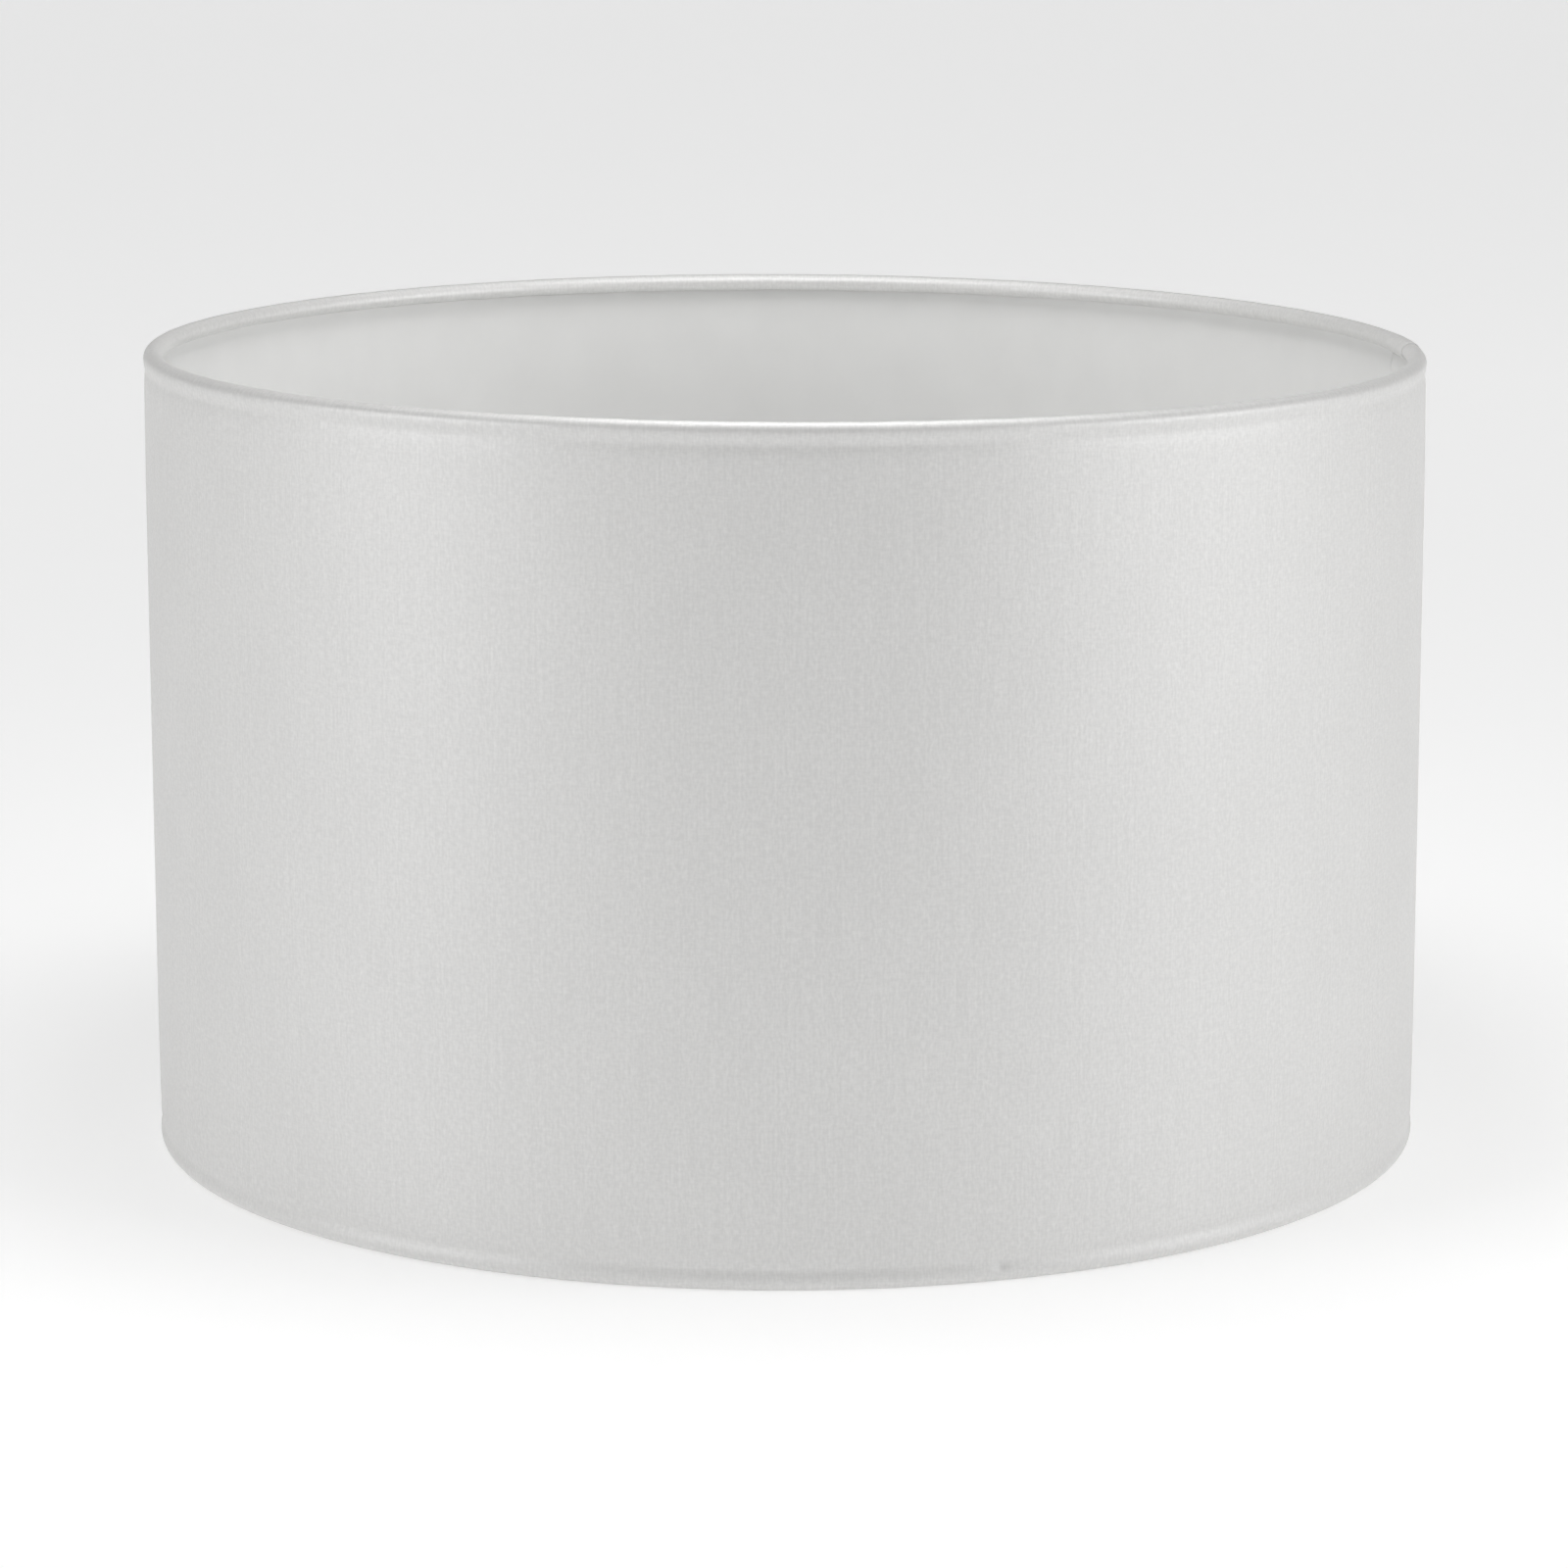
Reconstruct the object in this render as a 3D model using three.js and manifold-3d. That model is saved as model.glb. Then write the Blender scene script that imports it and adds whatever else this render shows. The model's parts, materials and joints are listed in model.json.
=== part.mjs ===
// A drum lamp shade: a satin cover bonded to a plastic lining, its edges rolled over two wire rings.
// Three wire arms on the bottom ring carry a pressed fitter ring, which holds a loose reducer.
//
// Millimetres, +Z up. The shade stands on z = 0 and the Z axis is its axis.
// Azimuths are in degrees from +X towards +Y, and the front is -Y.
import * as THREE from "three";
import { mergeVertices } from "three/addons/utils/BufferGeometryUtils.js";
import Module from "manifold-3d";

const wasm = await Module();
wasm.setup();

// The drum.
const DIAMETER = 400;
const HEIGHT = 250;
const FACETS = 60; // flats around the drum, shared by every wrapped layer so that they stay parallel

// The layers of the wall. LAYER_GAP stands for the glue between two of them.
const COVER_THICK = 0.5;
const LINING_THICK = 0.4;
const LAYER_GAP = 0.1;

// The rolled hems. Each hem holds a ring of round wire with tape on it.
const RING_WIRE_RADIUS = 1.6;
const RING_TAPE_THICK = 0.15;
const TUCK_LENGTH = 0.6; // how far the cloth's cut edge stands up between the ring and the lining
const ROLL_STEPS = 5; // flats in half a turn of the roll: odd, so that the hem rests on a flat one

// The seam down the right-hand side, where the lining's two ends overlap.
const SEAM_AZIMUTH = 1.5;
const SEAM_OVERLAP = 9; // degrees of overlap, about 31 mm
const SEAM_LEAD_IN = 4.5; // degrees over which the inner end steps in under the outer one
const SEAM_SLIT = 0.4;
const SEAM_TAPE_THICK = 0.35;
const SEAM_END_CLEARANCE = 6.5; // the inner end stops this far from the shade's top and base

// The fitter.
const ARM_AZIMUTHS = [-72, 48, 168];
const ARM_RADIUS = 1.5;
const ARM_SIDES = 8;
const ARM_STEPS = 28;
const ARM_HEIGHT = 24;
const ARM_CRANK = { outer: 187, inner: 152 }; // radii between which an arm climbs
const WELD_GAP = 0.3;
const FITTER_FACETS = 36;
const FITTER_RADIUS = 30;
const FITTER_HOLE_RADIUS = 21;
const FITTER_TOP = 27;
const FITTER_SHEET = 1.5;
const FITTER_SKIRT = 6;

// The reducer, a stepped plastic ring that drops into the fitter's hole.
const REDUCER_FLANGE_RADIUS = 25;
const REDUCER_FLANGE_THICK = 1.8;
const REDUCER_NECK_RADIUS = 20.6;
const REDUCER_WALL = 1.8;
const REDUCER_DEPTH = 7;
const REDUCER_BORE_RADIUS = 14.5;
const REDUCER_RIBS = 6;
const RIB = { proud: 0.25, width: 1.2 };
const SEAT_GAP = 0.1;
const EDGE_BREAK = 0.4; // small bevel on the fitter's and the reducer's edges

const MERGE_DISTANCE = 1e-4;

// Radii of the layers, from the outside in.
const OUTER = DIAMETER / 2;
const COVER_INNER = OUTER - COVER_THICK;
const LINING_OUTER = COVER_INNER - LAYER_GAP;
const LINING_INNER = LINING_OUTER - LINING_THICK;
const TUCK_OUTER = LINING_INNER - LAYER_GAP;
const TUCK_INNER = TUCK_OUTER - COVER_THICK;
const WRAP_INNER_RADIUS = RING_WIRE_RADIUS + RING_TAPE_THICK + 2 * LAYER_GAP;
const RING_CENTRE = TUCK_INNER - WRAP_INNER_RADIUS;
const ROLL_INNER = RING_CENTRE - WRAP_INNER_RADIUS - COVER_THICK;
const ROLL_RADIUS = (OUTER - ROLL_INNER) / 2;
const ROLL_CENTRE = (OUTER + ROLL_INNER) / 2;

const rollStep = Math.PI / ROLL_STEPS;
const rollFlatHeight = ROLL_RADIUS * Math.cos(rollStep / 2);
const BOTTOM_RING_Z = rollFlatHeight;
const TOP_RING_Z = HEIGHT - rollFlatHeight;

const radians = THREE.MathUtils.degToRad;

// ---- Geometry helpers ----

// The solid enclosed by a geometry, ready to be joined or cut.
function solidOf(geometry) {
  const bare = geometry.clone();
  bare.deleteAttribute("normal");
  bare.deleteAttribute("uv");
  const merged = mergeVertices(bare, MERGE_DISTANCE);
  const mesh = new wasm.Mesh({
    numProp: 3,
    vertProperties: merged.attributes.position.array,
    triVerts: new Uint32Array(merged.index.array),
  });
  return new wasm.Manifold(mesh);
}

function geometryOf(solid) {
  const { vertProperties, triVerts } = solid.getMesh();
  const geometry = new THREE.BufferGeometry();
  geometry.setAttribute("position", new THREE.BufferAttribute(vertProperties, 3));
  geometry.setIndex(new THREE.BufferAttribute(triVerts, 1));
  geometry.computeVertexNormals();
  return geometry;
}

// A closed profile of [radius, z] points, listed anticlockwise, turned about the Z axis.
function turned(profile, facets) {
  const points = [...profile, profile[0]].map(([r, z]) => new THREE.Vector2(r, z));
  return new THREE.LatheGeometry(points, facets).rotateX(Math.PI / 2);
}

// Points of an arc in a section, as [radius, z]. Angles are in multiples of the roll's step.
function sectionArc(centre, z, radius, firstStep, lastStep) {
  const points = [];
  const direction = Math.sign(lastStep - firstStep);
  for (let i = firstStep; i !== lastStep + direction; i += direction) {
    const angle = i * rollStep;
    points.push([centre + radius * Math.cos(angle), z + radius * Math.sin(angle)]);
  }
  return points;
}

// A point on the drum's flats: where the polygon of that corner radius lies at an azimuth.
function onDrum(radius, azimuth) {
  const flat = 360 / FACETS;
  const fromMiddle = azimuth - flat * Math.floor(azimuth / flat) - flat / 2;
  const distance = (radius * Math.cos(radians(flat / 2))) / Math.cos(radians(fromMiddle));
  const angle = radians(azimuth);
  return new THREE.Vector2(distance * Math.cos(angle), distance * Math.sin(angle));
}

// Azimuths from one to another, with a stop at every corner of the drum between them.
function drumAzimuths(from, to) {
  const flat = 360 / FACETS;
  const stops = [from];
  for (let corner = flat * (Math.floor(from / flat) + 1); corner < to; corner += flat) {
    stops.push(corner);
  }
  return [...stops, to];
}

// A curved sheet that stands upright: its plan follows the drum between two azimuths.
function curvedSheet(stretches, thick, low, high) {
  const outer = [];
  const inner = [];
  for (const { from, to, radius } of stretches) {
    for (const azimuth of drumAzimuths(from, to)) {
      outer.push(onDrum(radius, azimuth));
      inner.push(onDrum(radius - thick, azimuth));
    }
  }
  const plan = new THREE.Shape([...outer, ...inner.reverse()]);
  const geometry = new THREE.ExtrudeGeometry(plan, { depth: high - low, bevelEnabled: false });
  return geometry.translate(0, 0, low);
}

// ---- Sub-parts ----

// One hem of the cover as two lists of points: the roll's outer surface from the wall to the cut
// edge, and its inner surface back to the wall. The cloth goes over the ring, round it and up
// between the ring and the lining.
function hemSection(z) {
  const outside = [
    ...sectionArc(ROLL_CENTRE, z, ROLL_RADIUS, 0, ROLL_STEPS),
    ...sectionArc(RING_CENTRE, z, WRAP_INNER_RADIUS + COVER_THICK, ROLL_STEPS + 1, 2 * ROLL_STEPS),
    [TUCK_OUTER, z + TUCK_LENGTH],
  ];
  const inside = [
    [TUCK_INNER, z + TUCK_LENGTH],
    ...sectionArc(RING_CENTRE, z, WRAP_INNER_RADIUS, 2 * ROLL_STEPS, ROLL_STEPS + 1),
    ...sectionArc(ROLL_CENTRE, z, ROLL_RADIUS - COVER_THICK, ROLL_STEPS, 0),
  ];
  return { outside, inside };
}

function mirrored(points) {
  return points.map(([r, z]) => [r, HEIGHT - z]);
}

// The cover is one strip of cloth. A slit at the seam parts its two ends, and each arm leaves
// the bottom hem through a hole.
function coverGeometry() {
  const { outside, inside } = hemSection(TOP_RING_Z);
  const profile = [...outside, ...inside, ...mirrored([...outside, ...inside]).reverse()];
  const reach = 2 * ROLL_RADIUS + 2;
  const slit = new THREE.BoxGeometry(2 * reach, SEAM_SLIT, HEIGHT + 2);
  slit.translate(OUTER, 0, HEIGHT / 2).rotateZ(radians(SEAM_AZIMUTH));
  let cover = solidOf(turned(profile, FACETS)).subtract(solidOf(slit));
  const holeRadius = ARM_RADIUS + WELD_GAP;
  for (const azimuth of ARM_AZIMUTHS) {
    const hole = new THREE.CylinderGeometry(holeRadius, holeRadius, reach, ARM_SIDES);
    hole.rotateZ(Math.PI / 2);
    hole.translate(RING_CENTRE - RING_WIRE_RADIUS - reach / 2, 0, BOTTOM_RING_Z);
    cover = cover.subtract(solidOf(hole.rotateZ(radians(azimuth))));
  }
  return geometryOf(cover);
}

// The lining is one panel. Its outer end is at the seam, and its inner end steps in under the
// outer one and is cut back to clear both hems.
function liningGeometry() {
  const lapOuter = LINING_INNER - SEAM_TAPE_THICK - 2 * LAYER_GAP;
  const start = SEAM_AZIMUTH;
  const turn = start + 360;
  const slit = THREE.MathUtils.radToDeg(SEAM_SLIT / OUTER);
  const lapped = [
    { from: start, to: turn - SEAM_LEAD_IN, radius: LINING_OUTER },
    { from: turn, to: turn + SEAM_OVERLAP, radius: lapOuter },
  ];
  const whole = [{ from: start, to: turn - slit, radius: LINING_OUTER }];
  const low = SEAM_END_CLEARANCE;
  const high = HEIGHT - SEAM_END_CLEARANCE;
  const bands = [
    curvedSheet(whole, LINING_THICK, BOTTOM_RING_Z, low + 1),
    curvedSheet(whole, LINING_THICK, high - 1, TOP_RING_Z),
  ];
  let panel = solidOf(curvedSheet(lapped, LINING_THICK, low, high));
  for (const band of bands) {
    panel = panel.add(solidOf(band));
  }
  return geometryOf(panel);
}

function seamTapeGeometry() {
  const stretch = {
    from: SEAM_AZIMUTH,
    to: SEAM_AZIMUTH + SEAM_OVERLAP,
    radius: LINING_INNER - LAYER_GAP,
  };
  const high = HEIGHT - SEAM_END_CLEARANCE;
  return curvedSheet([stretch], SEAM_TAPE_THICK, SEAM_END_CLEARANCE, high);
}

function ringGeometry(z) {
  return turned(sectionArc(RING_CENTRE, z, RING_WIRE_RADIUS, 0, 2 * ROLL_STEPS - 1), FACETS);
}

// The tape on the top ring covers it from the tuck over to the inside, and stops above the arms'
// level. The bottom ring's tape is the same one upside down.
function ringTapeProfile() {
  const inner = RING_WIRE_RADIUS + LAYER_GAP;
  const lastStep = ROLL_STEPS - 1;
  return [
    ...sectionArc(RING_CENTRE, TOP_RING_Z, inner + RING_TAPE_THICK, 0, lastStep),
    ...sectionArc(RING_CENTRE, TOP_RING_Z, inner, lastStep, 0),
  ];
}

// One arm, drawn along +X. It leaves the ring level, climbs in a double bend and runs level to
// the fitter's skirt.
function armGeometry() {
  const at = (radius, z) => new THREE.Vector3(radius, 0, z);
  const middle = (ARM_CRANK.outer + ARM_CRANK.inner) / 2;
  const path = new THREE.CurvePath();
  const ringEnd = at(RING_CENTRE - RING_WIRE_RADIUS - WELD_GAP, BOTTOM_RING_Z);
  const foot = at(ARM_CRANK.outer, BOTTOM_RING_Z);
  const head = at(ARM_CRANK.inner, ARM_HEIGHT);
  const fitterEnd = at(FITTER_RADIUS + WELD_GAP, ARM_HEIGHT);
  path.add(new THREE.LineCurve3(ringEnd, foot));
  path.add(
    new THREE.CubicBezierCurve3(foot, at(middle, BOTTOM_RING_Z), at(middle, ARM_HEIGHT), head),
  );
  path.add(new THREE.LineCurve3(head, fitterEnd));
  const section = new THREE.Shape();
  section.absarc(0, 0, ARM_RADIUS, 0, 2 * Math.PI);
  return new THREE.ExtrudeGeometry(section, {
    steps: ARM_STEPS,
    curveSegments: ARM_SIDES / 2, // per half turn of the section
    extrudePath: path,
  });
}

// A flat washer of sheet steel with its outer edge turned down into a skirt. A line of corners on
// its top parts the bare rim, where a large holder's ring clamps, from what the reducer covers.
function fitterRingGeometry() {
  const under = FITTER_TOP - FITTER_SHEET;
  const skirtFoot = FITTER_TOP - FITTER_SKIRT;
  const skirtInner = FITTER_RADIUS - FITTER_SHEET;
  const profile = [
    [FITTER_HOLE_RADIUS, under],
    [skirtInner - EDGE_BREAK, under],
    [skirtInner, under - EDGE_BREAK],
    [skirtInner, skirtFoot],
    [FITTER_RADIUS, skirtFoot],
    [FITTER_RADIUS, under],
    [FITTER_RADIUS - EDGE_BREAK, FITTER_TOP - EDGE_BREAK],
    [FITTER_RADIUS - FITTER_SHEET, FITTER_TOP],
    [REDUCER_FLANGE_RADIUS + SEAT_GAP, FITTER_TOP],
    [FITTER_HOLE_RADIUS, FITTER_TOP],
  ];
  return turned(profile, FITTER_FACETS);
}

// A cup with no middle: a flange that rests on the fitter, a neck through its hole, and a floor
// with the smaller bore. Low ribs keep the neck central.
function reducerGeometry() {
  const under = FITTER_TOP + SEAT_GAP;
  const top = under + REDUCER_FLANGE_THICK;
  const foot = under - REDUCER_DEPTH;
  const neckInner = REDUCER_NECK_RADIUS - REDUCER_WALL;
  const profile = [
    [REDUCER_BORE_RADIUS, foot],
    [REDUCER_NECK_RADIUS - EDGE_BREAK, foot],
    [REDUCER_NECK_RADIUS, foot + EDGE_BREAK],
    [REDUCER_NECK_RADIUS, under],
    [REDUCER_FLANGE_RADIUS, under],
    [REDUCER_FLANGE_RADIUS, top - EDGE_BREAK],
    [REDUCER_FLANGE_RADIUS - EDGE_BREAK, top],
    [neckInner + EDGE_BREAK, top],
    [neckInner, top - EDGE_BREAK],
    [neckInner, foot + REDUCER_WALL],
    [REDUCER_BORE_RADIUS, foot + REDUCER_WALL],
  ];
  let ring = solidOf(turned(profile, FITTER_FACETS));
  const ribHeight = REDUCER_DEPTH - 2;
  const ribDepth = REDUCER_WALL / 2 + RIB.proud;
  const ribRadius = REDUCER_NECK_RADIUS + RIB.proud - ribDepth / 2;
  for (let i = 0; i < REDUCER_RIBS; i += 1) {
    const rib = new THREE.BoxGeometry(ribDepth, RIB.width, ribHeight);
    rib.translate(ribRadius, 0, foot + 1 + ribHeight / 2);
    ring = ring.add(solidOf(rib.rotateZ((i * 2 * Math.PI) / REDUCER_RIBS)));
  }
  return geometryOf(ring);
}

// ---- The assembly ----

const satin = new THREE.MeshStandardMaterial({ color: 0xf1f0ed, roughness: 0.55, metalness: 0 });
const lining = new THREE.MeshStandardMaterial({ color: 0xf6f6f4, roughness: 0.45, metalness: 0 });
const tape = new THREE.MeshStandardMaterial({ color: 0xe8e6dc, roughness: 0.35, metalness: 0 });
const coatedSteel = new THREE.MeshStandardMaterial({
  color: 0xf3f3f1,
  roughness: 0.4,
  metalness: 0.2,
});
const plastic = new THREE.MeshStandardMaterial({ color: 0xf5f4ef, roughness: 0.3, metalness: 0 });

function piece(name, geometry, material) {
  const mesh = new THREE.Mesh(geometry, material);
  mesh.name = name;
  return mesh;
}

function skin() {
  const group = new THREE.Group();
  group.add(piece("cover_fabric", coverGeometry(), satin));
  group.add(piece("lining_panel", liningGeometry(), lining));
  group.add(piece("seam_tape", seamTapeGeometry(), tape));
  return group;
}

function rings() {
  const group = new THREE.Group();
  const tapeProfile = ringTapeProfile();
  const upsideDown = mirrored(tapeProfile).reverse();
  group.add(piece("top_ring", ringGeometry(TOP_RING_Z), coatedSteel));
  group.add(piece("top_ring_tape", turned(tapeProfile, FACETS), tape));
  group.add(piece("bottom_ring", ringGeometry(BOTTOM_RING_Z), coatedSteel));
  group.add(piece("bottom_ring_tape", turned(upsideDown, FACETS), tape));
  return group;
}

function fitter() {
  const group = new THREE.Group();
  const arm = armGeometry();
  ARM_AZIMUTHS.forEach((azimuth, i) => {
    const mesh = piece(`fitter_arm_${i + 1}`, arm, coatedSteel);
    mesh.rotation.z = radians(azimuth);
    group.add(mesh);
  });
  group.add(piece("fitter_ring", fitterRingGeometry(), coatedSteel));
  group.add(piece("reducer_ring", reducerGeometry(), plastic));
  return group;
}

const shade = new THREE.Group();
shade.add(skin(), rings(), fitter());

export default shade;
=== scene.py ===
"""The looks of the drum lamp shade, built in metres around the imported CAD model.

Azimuths are in degrees from +X towards +Y, so the front of the shade is at -90.
A section is a list of points (radius, height) in the half plane through the shade's axis.
"""

import json
import math

import bpy
import numpy as np
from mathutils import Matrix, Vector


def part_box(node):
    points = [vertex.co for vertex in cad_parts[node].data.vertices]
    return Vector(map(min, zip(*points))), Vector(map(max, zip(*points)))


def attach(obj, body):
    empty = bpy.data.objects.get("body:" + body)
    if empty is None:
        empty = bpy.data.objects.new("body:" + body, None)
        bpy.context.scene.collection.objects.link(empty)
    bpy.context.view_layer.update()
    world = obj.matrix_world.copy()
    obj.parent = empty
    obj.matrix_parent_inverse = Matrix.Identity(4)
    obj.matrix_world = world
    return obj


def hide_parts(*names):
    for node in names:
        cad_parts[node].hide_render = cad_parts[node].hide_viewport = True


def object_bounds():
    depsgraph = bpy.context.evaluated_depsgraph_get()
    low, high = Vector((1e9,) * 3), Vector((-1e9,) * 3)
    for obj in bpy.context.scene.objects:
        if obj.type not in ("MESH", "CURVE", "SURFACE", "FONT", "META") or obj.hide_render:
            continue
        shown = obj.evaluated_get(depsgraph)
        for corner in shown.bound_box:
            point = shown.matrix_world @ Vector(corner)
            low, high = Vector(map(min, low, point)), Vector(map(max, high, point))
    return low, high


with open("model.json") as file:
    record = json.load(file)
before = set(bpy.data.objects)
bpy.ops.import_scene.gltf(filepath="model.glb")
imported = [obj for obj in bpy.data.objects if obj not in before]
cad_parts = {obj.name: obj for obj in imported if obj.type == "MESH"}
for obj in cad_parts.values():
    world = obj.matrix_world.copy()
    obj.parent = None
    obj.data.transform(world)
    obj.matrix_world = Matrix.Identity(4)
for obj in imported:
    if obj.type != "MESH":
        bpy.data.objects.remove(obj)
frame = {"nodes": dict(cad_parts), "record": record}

MM = 0.001
CAD_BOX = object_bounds()

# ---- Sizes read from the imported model.
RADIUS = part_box("cover_fabric")[1].x
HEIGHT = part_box("cover_fabric")[1].z
BOTTOM_RING_HEIGHT = sum(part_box("bottom_ring"), start=CAD_BOX[0] * 0).z / 2
RING_WIRE_RADIUS = (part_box("bottom_ring")[1].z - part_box("bottom_ring")[0].z) / 2
RING_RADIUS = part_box("bottom_ring")[1].x - RING_WIRE_RADIUS
LINING_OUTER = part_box("lining_panel")[1].x
LINING_INNER = LINING_OUTER - 0.4 * MM
LINING_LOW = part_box("lining_panel")[0].z
FITTER_LOW, FITTER_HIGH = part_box("fitter_ring")
REDUCER_LOW, REDUCER_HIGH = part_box("reducer_ring")
ARM_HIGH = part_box("fitter_arm_1")[1].z

# ---- The cover cloth.
CLOTH_THICK = 0.4 * MM
ROLL_RADIUS = 3.0 * MM
ROLL_ARC = 262  # degrees that the cloth goes round a roll before it turns into the crevice
TUCK = [(-1.3, 3.5), (-1.35, 4.3), (-1.75, 5.1), (-2.4, 5.7)]  # mm from the wall and from the edge
GROOVE_DEPTH = 0.2 * MM  # how far the wall pulls in beside a roll
CREASE_DEPTH = 0.34 * MM  # how far it pulls in further, in the narrow crease along the roll
CREASE_HEIGHT = 6.3 * MM  # from the edge to the middle of the crease
CREASE_WIDTH = 1.7 * MM
WOBBLE = 0.12 * MM  # how far the wall is from a true cylinder
GATHER = 0.09 * MM  # puckers where the cloth turns over a ring
TOP_RISE = 0.6 * MM  # how far the top edge stands above the CAD one all round
TOP_LEAN = 1.07 * MM  # how far the top drops at +X and rises at -X
TOP_SADDLE = 0.5 * MM  # how far it also drops at both sides and rises at the front and back
COLUMN_STEP = 3.2 * MM

# ---- The seam. The end that comes from the back is folded and lies outside.
SEAM_AZIMUTH = 1.5
SEAM_LAP = 9.0  # degrees
SEAM_LIFT = 0.1 * MM  # how far the folded end stands off the cloth under it
SEAM_ROLL_LIFT = 0.36 * MM  # the same on the inner side of a roll
SEAM_SINK = 0.08 * MM  # how far the cloth under the folded end is pressed in
SEAM_UNDERLAY = 2.0  # degrees that the cloth's inner end goes on under the fold
FOLD_WIDTH = 10 * MM
FOLD_RIDGE = 0.07 * MM  # how much the doubled cloth of the fold adds
FOLD_ROUND = 1.0 * MM  # how far from its edge the fold starts to round off
FOLD_ROUND_SHARE = 0.85  # how much of the fold's height the rounding takes up
LINING_STEP = 0.95 * MM  # how far in the lining's inner end lies
LINING_LEAD_IN = 4.5  # degrees over which it steps in
LINING_END_HEIGHT = 6.5 * MM  # from the edge to the lining's inner end, which is cut a little shorter

# ---- The rings.
WRAP_THICK = 0.2 * MM  # of the tape on a ring's wire
WELD_BEAD = 0.15 * MM  # at the butt weld that closes a ring's wire
WELD_AZIMUTH = 200

# ---- The fitter.
ARM_AZIMUTHS = (-72, 48, 168)
ARM_RADIUS = 1.5 * MM
ARM_CRANK_OUTER = 187 * MM
ARM_CRANK_INNER = 152 * MM
WELD_RADIUS = 2.2 * MM
WELD_REACH = 2.4 * MM  # how far along the arm the weld's fillet runs out
WELD_LUMP = 0.12 * MM  # the ripples of the weld
DENTS = {-72: 0.6 * MM, 48: 0.25 * MM, 168: 0.25 * MM}  # in the hem, where an arm is welded on
DENT_HEIGHT = 5.2 * MM
DENT_SPREAD = (2 * MM, 1.7 * MM)  # sideways and upright
DENT_PULL_SPREAD = (9 * MM, 4 * MM)  # of the shallow pull round each dent
SHEET_THICK = 1.5 * MM
FITTER_HOLE = 21 * MM
FITTER_SAG = 0.06 * MM  # between the arms
SMALL_RING_RADIUS = 25 * MM  # what the uvs of the fitter and the reducer take as their radius
REDUCER_NECK = 20.6 * MM
REDUCER_WALL = 1.8 * MM
REDUCER_BORE = 14.5 * MM
REDUCER_RIBS = 6
RIB_PROUD = 0.25 * MM
RIB_WIDTH = 1.2 * MM

# ---- The camera and the room.
CAMERA_PLACE = (0.0, -1.73367, 0.45275)
CAMERA_PITCH = 11.21  # degrees below the horizon
CAMERA_ROLL = 0.083
CAMERA_LENS = 127.46
FLOOR_RADIUS = 12.0
SWEEP_RADIUS = 2.5
FLOOR_GLOW = (0.32, 0.38)  # near the shade and far from it
FLOOR_GLOW_REACH = (0.3, 2.0)  # distances from the axis between which the glow grows
CEILING_LIGHT = 0.96
CEILING_REACH = (0.64, 0.85)  # heights of the view direction between which the ceiling grows bright
LAMPS = {
    # name: (azimuth, height of its middle, distance from the axis, width, height, watts)
    "left_box": (-154, 0.88, 3.2, 1.8, 1.2, 28.5),
    "left_front_box": (-138, 0.88, 3.2, 1.2, 1.2, 2.0),
    "right_front_box": (-34, 0.88, 3.2, 1.2, 1.2, 8.6),
    "right_box": (-20, 0.88, 3.2, 1.8, 1.2, 20.0),
    "right_rear_box": (0, 0.88, 3.2, 1.2, 1.2, 10.0),
    "top_box": (-90, 0.62, 0.07, 0.3, 0.3, 1.05),
}


def smooth(low, high, values):
    """0 below low, 1 above high, and a smooth step between them."""
    t = np.clip((values - low) / (high - low), 0, 1)
    return t * t * (3 - 2 * t)


# ---- Mesh building.


def new_piece(name, vertices, faces, uvs, body, slot, material, *nodes):
    """A smooth mesh that rides on a body, with its material and the CAD nodes it stands for; slot is not
    used.
    """
    mesh = bpy.data.meshes.new(name)
    mesh.from_pydata(vertices.tolist(), [], faces.tolist())
    layer = mesh.uv_layers.new(name="metres")
    corner = np.zeros(len(mesh.loops), dtype=np.int32)
    mesh.loops.foreach_get("vertex_index", corner)
    layer.data.foreach_set("uv", uvs[corner].astype(np.float32).ravel())
    mesh.polygons.foreach_set("use_smooth", np.ones(len(mesh.polygons), dtype=bool))
    mesh.materials.append(material)
    mesh.update()
    piece = bpy.data.objects.new(name, mesh)
    bpy.context.scene.collection.objects.link(piece)
    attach(piece, body)
    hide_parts(*nodes)
    return piece


def strip(first, second):
    """Four-sided faces between two equally long rows of vertex numbers."""
    return np.stack([first[:-1], first[1:], second[1:], second[:-1]], axis=1)


def grid_faces(numbers):
    """Four-sided faces of a grid of vertex numbers."""
    corners = [numbers[:-1, :-1], numbers[1:, :-1], numbers[1:, 1:], numbers[:-1, 1:]]
    return np.stack(corners, axis=-1).reshape(-1, 4)


def closed_sheet(outer, inner, uvs):
    """A thin closed body between two grids of points of the same shape: its vertices, faces and uvs."""
    count = outer.shape[0] * outer.shape[1]
    front = np.arange(count).reshape(outer.shape[:2])
    back = front + count
    faces = [
        grid_faces(front),
        grid_faces(back)[:, ::-1],
        strip(front[:, 0], back[:, 0])[:, ::-1],
        strip(front[:, -1], back[:, -1]),
        strip(front[0], back[0]),
        strip(front[-1], back[-1])[:, ::-1],
    ]
    vertices = np.concatenate([outer.reshape(-1, 3), inner.reshape(-1, 3)])
    flat = uvs.reshape(-1, 2)
    return vertices, np.concatenate(faces), np.concatenate([flat, flat])


def closed_loop_body(points, uvs):
    """A body from a grid of points that closes on itself in both directions."""
    numbers = np.arange(points.shape[0] * points.shape[1]).reshape(points.shape[:2])
    wrapped = np.pad(numbers, ((0, 1), (0, 1)), mode="wrap")
    return points.reshape(-1, 3), grid_faces(wrapped), uvs.reshape(-1, 2)


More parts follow.
